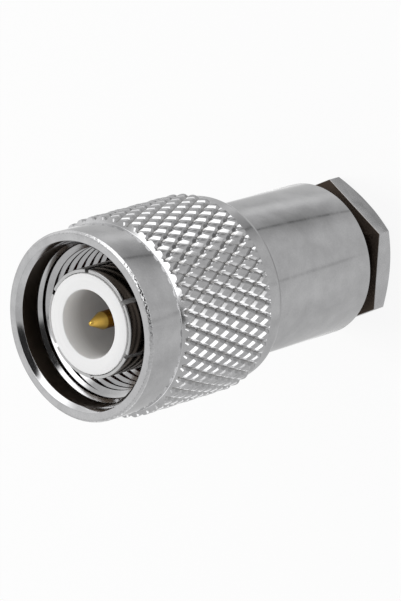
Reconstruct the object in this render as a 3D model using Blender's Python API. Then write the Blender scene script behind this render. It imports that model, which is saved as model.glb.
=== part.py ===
"""A straight TNC cable plug of the clamp kind, standing on its clamp nut with the mating end up.

Metres, +Z towards the mating end, origin in the middle of the clamp nut's rear face.
Every turned piece is a closed profile of (radius, height) points spun about Z.
"""

import math

import bmesh
import bpy

MM = 0.001

# Mating interface, thread 7/16-28
THREAD_MAJOR_DIAMETER = 11.11 * MM
THREAD_TURNS_PER_INCH = 28
THREAD_PITCH = 25.4 * MM / THREAD_TURNS_PER_INCH
THREAD_DEPTH = 0.44 * MM
THREAD_LENGTH = 5.3 * MM
THREAD_RELIEF_DEPTH = 0.1 * MM

# Coupling nut
NUT_LENGTH = 14.9 * MM
COLLAR_LENGTH = 3.63 * MM
COLLAR_EDGE = 0.18 * MM
MOUTH_STEP = 0.715 * MM
MOUTH_WALL = 1.06 * MM
MOUTH_DEPTH = 2.8 * MM
MOUTH_CHAMFER_WIDTH = 0.31 * MM
MOUTH_CHAMFER_DEPTH = 0.42 * MM
KNURL_RISE = 0.42 * MM
KNURL_DEPTH = 0.3 * MM
KNURL_LENGTH = 9.75 * MM
KNURL_STARTS = 44
KNURL_AXIAL_PITCH = 2.25 * MM
KNURL_TOP_SHARE = 0.45
KNURL_STOCK = 0.08 * MM
LAND_STEP = 0.02 * MM
LAND_EDGE = 0.12 * MM

# Plug body
BARREL_STEP = 0.75 * MM
BARREL_WALL = 1.14 * MM
BARREL_LENGTH = 11.65 * MM
BARREL_EDGE = 0.1 * MM
NECK_STEP = 0.255 * MM
NECK_WALL = 1.06 * MM
NECK_LENGTH = 4.85 * MM
NECK_EDGE = 0.2 * MM
INNER_STEP_DEPTH = 11.5 * MM
CAVITY_LEAD_IN = 0.3 * MM

# Outer contact with its spring fingers
CONTACT_WALL = 0.27 * MM
CONTACT_RECESS = 1.3 * MM
CONTACT_EDGE = 0.08 * MM
CONTACT_FLANGE_HEIGHT = 0.8 * MM
FINGER_COUNT = 6
FINGER_LENGTH = 6.9 * MM
SLOT_WIDTH = 0.36 * MM
SLOT_ANGLE = 38.0

# Centre contact
PIN_DIAMETER = 1.37 * MM
PIN_RECESS = 1.3 * MM
PIN_TIP_LENGTH = 1.2 * MM
PIN_NOSE_RADIUS = 0.17 * MM
PIN_CUP_DIAMETER = 2.3 * MM
PIN_CUP_LENGTH = 4.6 * MM
PIN_CUP_BORE = 1.0 * MM
PIN_CUP_BORE_DEPTH = 3.4 * MM
PIN_CUP_EDGE = 0.15 * MM
SOLDER_HOLE_DIAMETER = 0.8 * MM
SOLDER_HOLE_SETBACK = 2.4 * MM

# Insulators
SOCKET_WALL = 1.24 * MM
SOCKET_DEPTH = 5.3 * MM
SOCKET_EDGE = 0.1 * MM
INSULATOR_RECESS = 1.2 * MM
CUP_SEAT_DEPTH = 2.1 * MM
REAR_INSULATOR_HEIGHT = 1.6 * MM

# Snap ring and front gasket
RING_GROOVE_SETBACK = 2.3 * MM
RING_HEIGHT = 0.7 * MM
RING_GROOVE_DEPTH = 0.55 * MM
RING_NUT_GROOVE_DEPTH = 0.4 * MM
RING_GAP_WIDTH = 1.6 * MM
FRONT_GASKET_HEIGHT = 0.9 * MM

# Clamp parts for a cable 5 mm thick
SHANK_WALL = 2.15 * MM
CLAMP_SHANK_LENGTH = 4.2 * MM
CLAMP_SHANK_EDGE = 0.3 * MM
CLAMP_GAP = 1.55 * MM
HEX_FLAT_STEP = 0.65 * MM
HEX_HEIGHT = 1.65 * MM
HEX_FACE_SETBACK = 0.05 * MM
HEX_CHAMFER_ANGLE = 30.0
HEX_ANGLE = 30.0
CABLE_LEAD_IN = 0.35 * MM
WASHER_HEIGHT = 0.5 * MM
CABLE_GASKET_HEIGHT = 2.1 * MM
BRAID_CLAMP_HEIGHT = 2.1 * MM
BRAID_CLAMP_RIM = 0.9 * MM
BRAID_CLAMP_LIP = 0.3 * MM
GRIP_RIDGE_HEIGHT = 0.45 * MM

# Clearances between neighbours
RUNNING_CLEARANCE = 0.08 * MM
SLIDING_CLEARANCE = 0.06 * MM
SEAT_CLEARANCE = 0.04 * MM
NUT_END_PLAY = 0.15 * MM

# How far a cutting form reaches past the metal
TOOL_MARGIN = 1.0 * MM

# Fineness of the round forms
TURNED_STEPS = 48
SMALL_STEPS = 24
SHARP_ANGLE = math.radians(28)

# Heights that follow, from the clamp nut's rear face up to the mating face
HEX_TOP = HEX_HEIGHT
BODY_BOTTOM = HEX_TOP + CLAMP_GAP
BODY_SHOULDER = BODY_BOTTOM + BARREL_LENGTH
BODY_TOP = BODY_SHOULDER + NECK_LENGTH
INNER_STEP = BODY_BOTTOM + INNER_STEP_DEPTH
NUT_BOTTOM = BODY_SHOULDER + NUT_END_PLAY
MATING_FACE = NUT_BOTTOM + NUT_LENGTH
CONTACT_TOP = MATING_FACE - CONTACT_RECESS
CONTACT_FLANGE_TOP = INNER_STEP - SEAT_CLEARANCE
CONTACT_BOTTOM = CONTACT_FLANGE_TOP - CONTACT_FLANGE_HEIGHT
REAR_INSULATOR_TOP = CONTACT_BOTTOM - SEAT_CLEARANCE
REAR_INSULATOR_BOTTOM = REAR_INSULATOR_TOP - REAR_INSULATOR_HEIGHT
CUP_TOP = CONTACT_BOTTOM + CUP_SEAT_DEPTH - SEAT_CLEARANCE
SHANK_TOP = HEX_TOP + CLAMP_SHANK_LENGTH
WASHER_BOTTOM = SHANK_TOP + SEAT_CLEARANCE
CABLE_GASKET_BOTTOM = WASHER_BOTTOM + WASHER_HEIGHT + SEAT_CLEARANCE
BRAID_CLAMP_BOTTOM = CABLE_GASKET_BOTTOM + CABLE_GASKET_HEIGHT + SEAT_CLEARANCE
RING_TOP = BODY_TOP - RING_GROOVE_SETBACK
RING_BOTTOM = RING_TOP - RING_HEIGHT

# Radii that follow, from the mating thread outwards to the knurl and inwards to the sleeve
THREAD_MAJOR = THREAD_MAJOR_DIAMETER / 2
THREAD_MINOR = THREAD_MAJOR - THREAD_DEPTH
MOUTH_RADIUS = THREAD_MAJOR + MOUTH_STEP
COLLAR_RADIUS = MOUTH_RADIUS + MOUTH_WALL
KNURL_CREST = COLLAR_RADIUS + KNURL_RISE
KNURL_ROOT = KNURL_CREST - KNURL_DEPTH
NECK_RADIUS = THREAD_MAJOR - NECK_STEP
NUT_BORE_RADIUS = NECK_RADIUS + RUNNING_CLEARANCE
BARREL_RADIUS = NECK_RADIUS + BARREL_STEP
CAVITY_RADIUS = BARREL_RADIUS - BARREL_WALL
LOOSE_RADIUS = CAVITY_RADIUS - SLIDING_CLEARANCE
HEX_ACROSS_FLATS = 2 * (BARREL_RADIUS - HEX_FLAT_STEP)
FRONT_BORE_RADIUS = NECK_RADIUS - NECK_WALL
CONTACT_RADIUS = FRONT_BORE_RADIUS - SEAT_CLEARANCE
CONTACT_INNER_RADIUS = CONTACT_RADIUS - CONTACT_WALL
INSULATOR_RADIUS = CONTACT_INNER_RADIUS - SEAT_CLEARANCE
CUP_RADIUS = PIN_CUP_DIAMETER / 2
CABLE_BORE_RADIUS = LOOSE_RADIUS - SHANK_WALL


def finish_of(name, colour, metallic, roughness):
    """A Principled material of one sub-part."""
    material = bpy.data.materials.new(name)
    material.use_nodes = True
    shader = material.node_tree.nodes["Principled BSDF"]
    shader.inputs["Base Color"].default_value = (*colour, 1.0)
    shader.inputs["Metallic"].default_value = metallic
    shader.inputs["Roughness"].default_value = roughness
    material.diffuse_color = (*colour, 1.0)
    return material


def place(name, form, material=None):
    """Turns a bmesh into a named object in the scene, smooth with sharp machined edges."""
    form.normal_update()
    bmesh.ops.recalc_face_normals(form, faces=form.faces)
    mesh = bpy.data.meshes.new(name)
    form.to_mesh(mesh)
    form.free()
    mesh.shade_smooth()
    mesh.set_sharp_from_angle(angle=SHARP_ANGLE)
    if material:
        mesh.materials.append(material)
    piece = bpy.data.objects.new(name, mesh)
    bpy.context.scene.collection.objects.link(piece)
    return piece


def turned(profile, steps=TURNED_STEPS):
    """Spins a closed profile about Z. One that starts and ends on the axis makes a solid without a bore."""
    form = bmesh.new()
    points = [form.verts.new((radius, 0, height)) for radius, height in profile]
    solid = profile[0][0] == 0 and profile[-1][0] == 0
    lines = [form.edges.new(pair) for pair in zip(points, points[1:])]
    if not solid:
        lines.append(form.edges.new((points[-1], points[0])))
    bmesh.ops.spin(form, geom=points + lines, axis=(0, 0, 1), cent=(0, 0, 0),
                   angle=math.tau, steps=steps, use_merge=True)
    bmesh.ops.remove_doubles(form, verts=form.verts, dist=1e-7)
    return form


def tool(name, form):
    """A cutting or joining form, which is not part of the plug itself."""
    helper = place(name, form)
    helper.hide_render = True
    helper.display_type = "WIRE"
    return helper


def shape_with(piece, helper, operation):
    """Cuts, joins or intersects a piece with a helper form."""
    step = piece.modifiers.new(helper.name, "BOOLEAN")
    step.operation = operation
    step.object = helper
    step.solver = "EXACT"


def block(width, depth, low, high, angle=0.0, centre=0.0):
    """An upright box, turned about Z, whose middle lies at a distance from the axis."""
    form = bmesh.new()
    bmesh.ops.create_cube(form, size=1.0)
    for vert in form.verts:
        x = vert.co.x * width + centre
        y = vert.co.y * depth
        vert.co.x = x * math.cos(angle) - y * math.sin(angle)
        vert.co.y = x * math.sin(angle) + y * math.cos(angle)
        vert.co.z = low + (vert.co.z + 0.5) * (high - low)
    return form


def prism(across_flats, low, high, corner_angle):
    """An upright hexagonal prism."""
    form = bmesh.new()
    radius = across_flats / math.sqrt(3)
    angles = [corner_angle + k * math.tau / 6 for k in range(6)]
    ring = [form.verts.new((radius * math.cos(angle), radius * math.sin(angle), low)) for angle in angles]
    face = form.faces.new(ring)
    grown = bmesh.ops.extrude_face_region(form, geom=[face])["geom"]
    for item in grown:
        if isinstance(item, bmesh.types.BMVert):
            item.co.z = high
    return form


def knurl_former(low, high, outer):
    """A ring whose inner wall is the diamond knurl: two families of grooves that cross on a helix lattice.

    The groove crossings lie in rows half an axial pitch apart, and every second row is turned by half a
    step. Between four crossings stands one diamond, a low pyramid with a flat top.
    """
    form = bmesh.new()
    step = math.tau / KNURL_STARTS
    row_height = KNURL_AXIAL_PITCH / 2
    rows = math.ceil((high - low) / row_height)
    columns = range(KNURL_STARTS)
    half_width = step / 2 * KNURL_TOP_SHARE
    half_height = row_height * KNURL_TOP_SHARE
    top_corners = ((-half_width, 0), (0, -half_height), (half_width, 0), (0, half_height))

    def vertex(radius, angle, height):
        return form.verts.new((radius * math.cos(angle), radius * math.sin(angle), height))

    def ring(radius, row):
        """One vertex per groove crossing of the row, at the radius."""
        return [vertex(radius, (column + 0.5 * (row % 2)) * step, low + row * row_height)
                for column in columns]

    def pick(verts, column):
        return verts[column % KNURL_STARTS]

    crossings = [ring(KNURL_ROOT, row) for row in range(rows + 1)]
    for row in range(rows + 1):
        shift = row % 2
        for column in columns:
            left = pick(crossings[row], column)
            right = pick(crossings[row], column + 1)
            if row == 0:
                form.faces.new((left, right, pick(crossings[1], column + shift)))
                continue
            below = pick(crossings[row - 1], column + shift)
            if row == rows:
                form.faces.new((left, below, right))
                continue
            corners = (left, below, right, pick(crossings[row + 1], column + shift))
            middle = (column + 0.5 + 0.5 * shift) * step
            top = [vertex(KNURL_CREST, middle + turn, low + row * row_height + rise)
                   for turn, rise in top_corners]
            form.faces.new(top)
            for k in range(4):
                form.faces.new((corners[k], corners[(k + 1) % 4], top[(k + 1) % 4], top[k]))

    rims = [ring(outer, 0), ring(outer, rows)]
    for rim, edge in zip(rims, (crossings[0], crossings[-1])):
        for column in columns:
            form.faces.new((pick(edge, column), pick(edge, column + 1),
                            pick(rim, column + 1), pick(rim, column)))
    bottom, top = rims
    for column in columns:
        form.faces.new((pick(bottom, column), pick(bottom, column + 1), pick(top, column)))
        form.faces.new((pick(top, column), pick(bottom, column + 1), pick(top, column + 1)))
    return form


def make_coupling_nut(nickel):
    """The nut: turned outside and inside in one piece, then knurled."""
    land = COLLAR_RADIUS - LAND_STEP
    blank = KNURL_CREST + KNURL_STOCK
    relief = THREAD_MAJOR + THREAD_RELIEF_DEPTH
    ring_groove = NUT_BORE_RADIUS + RING_NUT_GROOVE_DEPTH
    collar_bottom = MATING_FACE - COLLAR_LENGTH
    knurl_bottom = collar_bottom - KNURL_LENGTH
    mouth_bottom = MATING_FACE - MOUTH_DEPTH
    thread_top = mouth_bottom - (MOUTH_RADIUS - THREAD_MINOR)
    thread_bottom = thread_top - THREAD_LENGTH
    relief_bottom = BODY_TOP + SEAT_CLEARANCE
    profile = [
        (COLLAR_RADIUS - COLLAR_EDGE, MATING_FACE),
        (COLLAR_RADIUS, MATING_FACE - COLLAR_EDGE),
        (COLLAR_RADIUS, collar_bottom),
        (blank, collar_bottom - (blank - COLLAR_RADIUS)),
        (blank, knurl_bottom + (blank - land)),
        (land, knurl_bottom),
        (land, NUT_BOTTOM + LAND_EDGE),
        (land - LAND_EDGE, NUT_BOTTOM),
        (NUT_BORE_RADIUS, NUT_BOTTOM),
        (NUT_BORE_RADIUS, RING_BOTTOM),
        (ring_groove, RING_BOTTOM),
        (ring_groove, RING_TOP),
        (NUT_BORE_RADIUS, RING_TOP),
        (NUT_BORE_RADIUS, relief_bottom),
        (relief, relief_bottom + (relief - NUT_BORE_RADIUS)),
        (relief, thread_bottom - (relief - THREAD_MINOR)),
        (THREAD_MINOR, thread_bottom),
        (THREAD_MINOR, thread_top),
        (MOUTH_RADIUS, mouth_bottom),
        (MOUTH_RADIUS, MATING_FACE - MOUTH_CHAMFER_DEPTH),
        (MOUTH_RADIUS + MOUTH_CHAMFER_WIDTH, MATING_FACE),
    ]
    nut = place("coupling_nut", turned(profile), nickel)
    former = tool("knurl_former", knurl_former(knurl_bottom - KNURL_AXIAL_PITCH / 2,
                                               collar_bottom + KNURL_AXIAL_PITCH / 2,
                                               blank + TOOL_MARGIN))
    shape_with(nut, former, "DIFFERENCE")
    return nut


def make_plug_body(nickel):
    """The barrel with its neck, ring groove and the cavity that takes the clamp parts."""
    groove = NECK_RADIUS - RING_GROOVE_DEPTH
    profile = [
        (NECK_RADIUS - NECK_EDGE, BODY_TOP),
        (NECK_RADIUS, BODY_TOP - NECK_EDGE),
        (NECK_RADIUS, RING_TOP),
        (groove, RING_TOP),
        (groove, RING_BOTTOM),
        (NECK_RADIUS, RING_BOTTOM),
        (NECK_RADIUS, BODY_SHOULDER),
        (BARREL_RADIUS - BARREL_EDGE, BODY_SHOULDER),
        (BARREL_RADIUS, BODY_SHOULDER - BARREL_EDGE),
        (BARREL_RADIUS, BODY_BOTTOM + BARREL_EDGE),
        (BARREL_RADIUS - BARREL_EDGE, BODY_BOTTOM),
        (CAVITY_RADIUS + CAVITY_LEAD_IN, BODY_BOTTOM),
        (CAVITY_RADIUS, BODY_BOTTOM + CAVITY_LEAD_IN),
        (CAVITY_RADIUS, INNER_STEP),
        (FRONT_BORE_RADIUS, INNER_STEP),
        (FRONT_BORE_RADIUS, BODY_TOP),
    ]
    return place("plug_body", turned(profile), nickel)


def make_outer_contact(nickel):
    """The flanged spring sleeve, slotted from the front into fingers."""
    profile = [
        (CONTACT_RADIUS - CONTACT_EDGE, CONTACT_TOP),
        (CONTACT_RADIUS, CONTACT_TOP - CONTACT_EDGE),
        (CONTACT_RADIUS, CONTACT_FLANGE_TOP),
        (LOOSE_RADIUS, CONTACT_FLANGE_TOP),
        (LOOSE_RADIUS, CONTACT_BOTTOM),
        (CONTACT_INNER_RADIUS, CONTACT_BOTTOM),
        (CONTACT_INNER_RADIUS, CONTACT_TOP),
    ]
    sleeve = place("outer_contact", turned(profile), nickel)
    for k in range(FINGER_COUNT):
        angle = math.radians(SLOT_ANGLE) + k * math.tau / FINGER_COUNT
        slot = tool(f"finger_slot_{k + 1}", block(CONTACT_WALL + TOOL_MARGIN, SLOT_WIDTH,
                                                  CONTACT_TOP - FINGER_LENGTH, CONTACT_TOP + TOOL_MARGIN,
                                                  angle, CONTACT_RADIUS - CONTACT_WALL / 2))
        shape_with(sleeve, slot, "DIFFERENCE")
    return sleeve


def make_front_insulator(ptfe):
    """The long bush inside the sleeve, with the socket round the pin and a seat for the solder cup."""
    socket = INSULATOR_RADIUS - SOCKET_WALL
    pin_hole = PIN_DIAMETER / 2 + SEAT_CLEARANCE
    cup_seat = CUP_RADIUS + SEAT_CLEARANCE
    top = MATING_FACE - INSULATOR_RECESS
    profile = [
        (INSULATOR_RADIUS - SOCKET_EDGE, top),
        (INSULATOR_RADIUS, top - SOCKET_EDGE),
        (INSULATOR_RADIUS, CONTACT_BOTTOM),
        (cup_seat, CONTACT_BOTTOM),
        (cup_seat, CONTACT_BOTTOM + CUP_SEAT_DEPTH),
        (pin_hole, CONTACT_BOTTOM + CUP_SEAT_DEPTH),
        (pin_hole, top - SOCKET_DEPTH),
        (socket, top - SOCKET_DEPTH),
        (socket, top - SOCKET_EDGE),
        (socket + SOCKET_EDGE, top),
    ]
    return place("front_insulator", turned(profile), ptfe)


def make_rear_insulator(ptfe):
    """The bush that closes the cavity behind the sleeve's flange."""
    cup_hole = CUP_RADIUS + SEAT_CLEARANCE
    profile = [
        (LOOSE_RADIUS, REAR_INSULATOR_TOP),
        (LOOSE_RADIUS, REAR_INSULATOR_BOTTOM),
        (cup_hole, REAR_INSULATOR_BOTTOM),
        (cup_hole, REAR_INSULATOR_TOP),
    ]
    return place("rear_insulator", turned(profile), ptfe)


def make_centre_contact(gold):
    """The pin with its conical tip, its solder cup and the small hole that lets the solder in."""
    pin = PIN_DIAMETER / 2
    cup_bore = PIN_CUP_BORE / 2
    top = MATING_FACE - PIN_RECESS
    bottom = CUP_TOP - PIN_CUP_LENGTH
    profile = [
        (0, top),
        (PIN_NOSE_RADIUS * math.sqrt(0.5), top - PIN_NOSE_RADIUS * (1 - math.sqrt(0.5))),
        (PIN_NOSE_RADIUS, top - PIN_NOSE_RADIUS),
        (pin, top - PIN_TIP_LENGTH),
        (pin, CUP_TOP),
        (CUP_RADIUS, CUP_TOP),
        (CUP_RADIUS, bottom + PIN_CUP_EDGE),
        (CUP_RADIUS - PIN_CUP_EDGE, bottom),
        (cup_bore, bottom),
        (cup_bore, bottom + PIN_CUP_BORE_DEPTH),
        (0, bottom + PIN_CUP_BORE_DEPTH + cup_bore / 2),
    ]
    contact = place("centre_contact", turned(profile, SMALL_STEPS), gold)
    form = bmesh.new()
    bmesh.ops.create_cone(form, cap_ends=True, segments=SMALL_STEPS // 2, radius1=SOLDER_HOLE_DIAMETER / 2,
                          radius2=SOLDER_HOLE_DIAMETER / 2, depth=2 * CUP_RADIUS)
    for vert in form.verts:
        x, y, z = vert.co
        vert.co = (z + CUP_RADIUS, y, x + bottom + SOLDER_HOLE_SETBACK)
    shape_with(contact, tool("solder_hole", form), "DIFFERENCE")
    return contact


def make_retaining_ring(bronze):
    """The split snap ring, sprung into the nut's groove and standing in the body's."""
    outer = NUT_BORE_RADIUS + RING_NUT_GROOVE_DEPTH - SEAT_CLEARANCE
    inner = NECK_RADIUS - RING_GROOVE_DEPTH + SLIDING_CLEARANCE
    profile = [
        (outer, RING_TOP - SEAT_CLEARANCE),
        (outer, RING_BOTTOM + SEAT_CLEARANCE),
        (inner, RING_BOTTOM + SEAT_CLEARANCE),
        (inner, RING_TOP - SEAT_CLEARANCE),
    ]
    ring = place("retaining_ring", turned(profile), bronze)
    gap = tool("ring_gap", block(outer - inner + TOOL_MARGIN, RING_GAP_WIDTH, RING_BOTTOM - TOOL_MARGIN,
                                 RING_TOP + TOOL_MARGIN, 0.0, (outer + inner) / 2))
    shape_with(ring, gap, "DIFFERENCE")
    return ring


def make_front_gasket(silicone):
    """The flat sealing ring on the end of the neck, round the foot of the sleeve."""
    outer = THREAD_MINOR - SLIDING_CLEARANCE
    bottom = BODY_TOP + SEAT_CLEARANCE
    profile = [
        (outer, bottom + FRONT_GASKET_HEIGHT),
        (outer, bottom),
        (FRONT_BORE_RADIUS, bottom),
        (FRONT_BORE_RADIUS, bottom + FRONT_GASKET_HEIGHT),
    ]
    return place("front_gasket", turned(profile), silicone)


def make_braid_clamp(nickel):
    """The ferrule: a cone for the folded back braid, a rim, and a ridge that bites the gasket."""
    bore = CABLE_BORE_RADIUS
    top = BRAID_CLAMP_BOTTOM + BRAID_CLAMP_HEIGHT
    ridge = (bore + LOOSE_RADIUS) / 2
    profile = [
        (bore + BRAID_CLAMP_LIP, top),
        (LOOSE_RADIUS, BRAID_CLAMP_BOTTOM + BRAID_CLAMP_RIM),
        (LOOSE_RADIUS, BRAID_CLAMP_BOTTOM),
        (ridge + GRIP_RIDGE_HEIGHT, BRAID_CLAMP_BOTTOM),
        (ridge, BRAID_CLAMP_BOTTOM - GRIP_RIDGE_HEIGHT),
        (ridge - GRIP_RIDGE_HEIGHT, BRAID_CLAMP_BOTTOM),
        (bore, BRAID_CLAMP_BOTTOM),
        (bore, top),
    ]
    return place("braid_clamp", turned(profile), nickel)


def make_cable_gasket(silicone):
    """The thick ring that is squeezed on to the cable, with a groove for the ferrule's ridge."""
    bore = CABLE_BORE_RADIUS
    top = CABLE_GASKET_BOTTOM + CABLE_GASKET_HEIGHT
    ridge = (bore + LOOSE_RADIUS) / 2
    profile = [
        (LOOSE_RADIUS, top),
        (LOOSE_RADIUS, CABLE_GASKET_BOTTOM),
        (bore, CABLE_GASKET_BOTTOM),
        (bore, top),
        (ridge - GRIP_RIDGE_HEIGHT, top),
        (ridge, top - GRIP_RIDGE_HEIGHT),
        (ridge + GRIP_RIDGE_HEIGHT, top),
    ]
    return place("cable_gasket", turned(profile), silicone)


def make_slip_washer(nickel):
    """The washer that lets the clamp nut turn without dragging the gasket."""
    profile = [
        (LOOSE_RADIUS, WASHER_BOTTOM + WASHER_HEIGHT),
        (LOOSE_RADIUS, WASHER_BOTTOM),
        (CABLE_BORE_RADIUS, WASHER_BOTTOM),
        (CABLE_BORE_RADIUS, WASHER_BOTTOM + WASHER_HEIGHT),
    ]
    return place("slip_washer", turned(profile), nickel)


def make_clamp_nut(nickel):
    """The hexagon with its chamfered rear face, the threaded shank and the cable's way through."""
    flat = HEX_ACROSS_FLATS / 2
    corner = HEX_ACROSS_FLATS / math.sqrt(3)
    face = flat - HEX_FACE_SETBACK
    reach = corner + TOOL_MARGIN
    chamfer_rise = (reach - face) * math.tan(math.radians(HEX_CHAMFER_ANGLE))
    nut = place("clamp_nut", prism(HEX_ACROSS_FLATS, -TOOL_MARGIN, HEX_TOP, math.radians(HEX_ANGLE)), nickel)
    shank = [
        (0, SHANK_TOP),
        (LOOSE_RADIUS - CLAMP_SHANK_EDGE, SHANK_TOP),
        (LOOSE_RADIUS, SHANK_TOP - CLAMP_SHANK_EDGE),
        (LOOSE_RADIUS, HEX_TOP / 2),
        (0, HEX_TOP / 2),
    ]
    envelope = [
        (reach, SHANK_TOP + TOOL_MARGIN),
        (reach, chamfer_rise),
        (face, 0),
        (CABLE_BORE_RADIUS + CABLE_LEAD_IN, 0),
        (CABLE_BORE_RADIUS, CABLE_LEAD_IN),
        (CABLE_BORE_RADIUS, SHANK_TOP + TOOL_MARGIN),
    ]
    shape_with(nut, tool("clamp_shank", turned(shank)), "UNION")
    shape_with(nut, tool("chamfer_and_bore", turned(envelope)), "INTERSECT")
    return nut


def main():
    for stale in list(bpy.data.objects):
        bpy.data.objects.remove(stale, do_unlink=True)
    nickel = finish_of("nickel plated brass", (0.62, 0.61, 0.6), 1.0, 0.24)
    contact_nickel = finish_of("nickel plated bronze", (0.6, 0.59, 0.58), 1.0, 0.2)
    gold = finish_of("gold plated brass", (0.83, 0.6, 0.22), 1.0, 0.2)
    ptfe = finish_of("white ptfe", (0.88, 0.88, 0.87), 0.0, 0.45)
    bronze = finish_of("phosphor bronze", (0.63, 0.42, 0.25), 1.0, 0.32)
    silicone = finish_of("red silicone", (0.45, 0.07, 0.05), 0.0, 0.6)
    make_plug_body(nickel)
    make_coupling_nut(nickel)
    make_retaining_ring(bronze)
    make_front_gasket(silicone)
    make_outer_contact(contact_nickel)
    make_front_insulator(ptfe)
    make_rear_insulator(ptfe)
    make_centre_contact(gold)
    make_braid_clamp(nickel)
    make_cable_gasket(silicone)
    make_slip_washer(nickel)
    make_clamp_nut(nickel)


main()
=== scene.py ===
"""Dresses a TNC cable plug in turned and knurled nickel plate, with PTFE insulators and a gold plated pin."""

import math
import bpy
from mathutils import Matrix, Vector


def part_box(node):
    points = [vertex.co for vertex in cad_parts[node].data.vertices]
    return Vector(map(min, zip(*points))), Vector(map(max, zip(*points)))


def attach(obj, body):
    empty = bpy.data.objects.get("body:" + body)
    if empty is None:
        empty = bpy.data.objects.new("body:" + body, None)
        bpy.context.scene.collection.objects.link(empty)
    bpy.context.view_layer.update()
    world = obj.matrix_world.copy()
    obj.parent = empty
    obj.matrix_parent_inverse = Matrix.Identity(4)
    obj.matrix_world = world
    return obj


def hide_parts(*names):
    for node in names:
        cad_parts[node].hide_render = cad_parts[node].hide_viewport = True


bl_info = {
    "name": "TNC cable plug",
    "version": (1, 0, 0),
    "blender": (4, 5, 0),
    "location": "3D View > Sidebar > Plug",
    "description": "Builds the pieces of a clamp type TNC cable plug, their finishes and a small studio",
    "category": "Object",
}

from types import SimpleNamespace

import bmesh
import bpy
from mathutils import Matrix, Vector

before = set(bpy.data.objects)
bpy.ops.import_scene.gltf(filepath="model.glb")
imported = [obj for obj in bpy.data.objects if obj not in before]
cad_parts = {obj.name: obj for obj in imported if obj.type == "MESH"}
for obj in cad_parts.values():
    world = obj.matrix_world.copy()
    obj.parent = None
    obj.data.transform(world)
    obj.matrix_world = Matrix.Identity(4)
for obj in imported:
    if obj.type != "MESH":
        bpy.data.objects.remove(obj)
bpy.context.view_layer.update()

MM = 0.001

# Flat sides of a turned form: the large pieces, then the pin and the screw threads.
TURNED_STEPS = 192
SMALL_STEPS = 96
# Steps of the arc on a deburred corner, and on a corner with a radius of its own.
EDGE_STEPS = 3
ROUND_STEPS = 8
# A corner flatter than this stays as it is, and an arc takes at most this share of a side.
NEARLY_STRAIGHT = math.radians(165)
LARGEST_REACH = 0.4
SHARP_ANGLE = math.radians(32)
MERGE_DISTANCE = 1e-7
# Slope of the chamfers in front of the mating thread and on the hexagon's rear corners.
CHAMFER_ANGLE = math.radians(30)

# Half of one groove of the knurl, from its bottom to the crest: the place as a share of half the groove's
# width, and the depth as a share of the full depth. The last two points round the crest off.
KNURL_FLANK = ((0.0, 0.98), (0.75, 0.3), (0.95, 0.15), (1.2, 0.1), (1.55, 0.035))
# Power by which the depths of two crossing grooves add up: a higher one gives a sharper corner.
KNURL_BLEND = 3

# The rounded end of the pin turns this far from the axis before the cone goes on.
NOSE_ANGLE = math.radians(65)
NOSE_STEPS = 5

# Where the lamp and the camera stand. The camera was fitted to the plug's edges in the photograph, and its
# turn is in degrees.
KEY_PLACE = Vector((240, 420, 360)) * MM
KEY_AIM = Vector((0, 0, 15)) * MM
CAMERA_PLACE = Vector((-14.664, -258.335, 285.194)) * MM
CAMERA_TURN = (-15.317, 41.693, -115.481)
CAMERA_START = 10 * MM
SENSOR_WIDTH = 36.0

# Most values of a noise texture lie between these two.
NOISE_MIDDLE = {"From Min": 0.3, "From Max": 0.7}
WHITE = (1.0, 1.0, 1.0, 1.0)


class Card:
    """An oval card of the light tent: where it stands, its half width and half height, all as angles seen
    from the plug in degrees, the share of it that fades out, and how bright it is."""

    def __init__(self, azimuth, elevation, width, height, softness, brightness):
        turn, lift = math.radians(azimuth), math.radians(elevation)
        self.aim = Vector((math.cos(turn) * math.cos(lift), math.sin(turn) * math.cos(lift), math.sin(lift)))
        self.side = Vector((-math.sin(turn), math.cos(turn), 0.0)) / math.sin(math.radians(width))
        self.up = self.aim.cross(self.side).normalized() / math.sin(math.radians(height))
        self.softness = softness
        self.brightness = brightness


# The tent's cards in the order in which they are laid down: a later card covers an earlier one.
CARDS = {
    "left wall": Card(175, 12, 60, 40, 0.8, 0.8),
    "left strip": Card(165, -16, 60, 19, 0.5, 1.7),
    "far wall": Card(87, 40, 45, 28, 0.8, 0.84),
    "right wall": Card(40, 6, 60, 34, 0.7, 1.0),
    "key window": Card(-40, 20, 52, 42, 0.35, 2.0),
    "near window": Card(-83, -6, 55, 14, 0.4, 2.2),
    "high lamp": Card(-45, 60, 38, 17, 0.3, 2.3),
    "gap in the ceiling": Card(95, 74, 26, 16, 0.8, 0.3),
    "low card, far": Card(84, -46, 20, 20, 1.0, 1.2),
    "low card, right": Card(7, -46, 11, 16, 0.9, 0.78),
    "low card, left": Card(-138, -46, 20, 16, 0.9, 0.69),
    "dark corner": Card(-30, -47, 24, 18, 1.0, 0.33),
    "dark seam": Card(-31, -46, 1.7, 16, 0.5, 0.2),
    "faint seam": Card(-110.5, -46, 2.2, 16, 0.6, 0.48),
    "gap in the floor": Card(0, -90, 30, 30, 0.6, 0.42),
    "gap over the collar": Card(-118, 60, 9, 8, 0.4, 0.05),
    "gap for the camera": Card(-82, 34, 36, 22, 0.3, 0.03),
}


def top_of(node):
    """Height of a node's upper end."""
    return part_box(node)[1].z


def bottom_of(node):
    """Height of a node's lower end."""
    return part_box(node)[0].z


def radius_of(node):
    """Half the widest side of a node's box."""
    low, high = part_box(node)
    return max(high.x - low.x, high.y - low.y) / 2


def length(name, description, millimetres):
    """A size property, kept in metres and shown in the scene's own unit."""
    return bpy.props.FloatProperty(name=name, description=description, default=millimetres * MM,
                                   min=0.0, unit="LENGTH", precision=5)


def share(name, description, value):
    """A property between nothing and all."""
    return bpy.props.FloatProperty(name=name, description=description, default=value,
                                   min=0.0, max=1.0, subtype="FACTOR")


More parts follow.
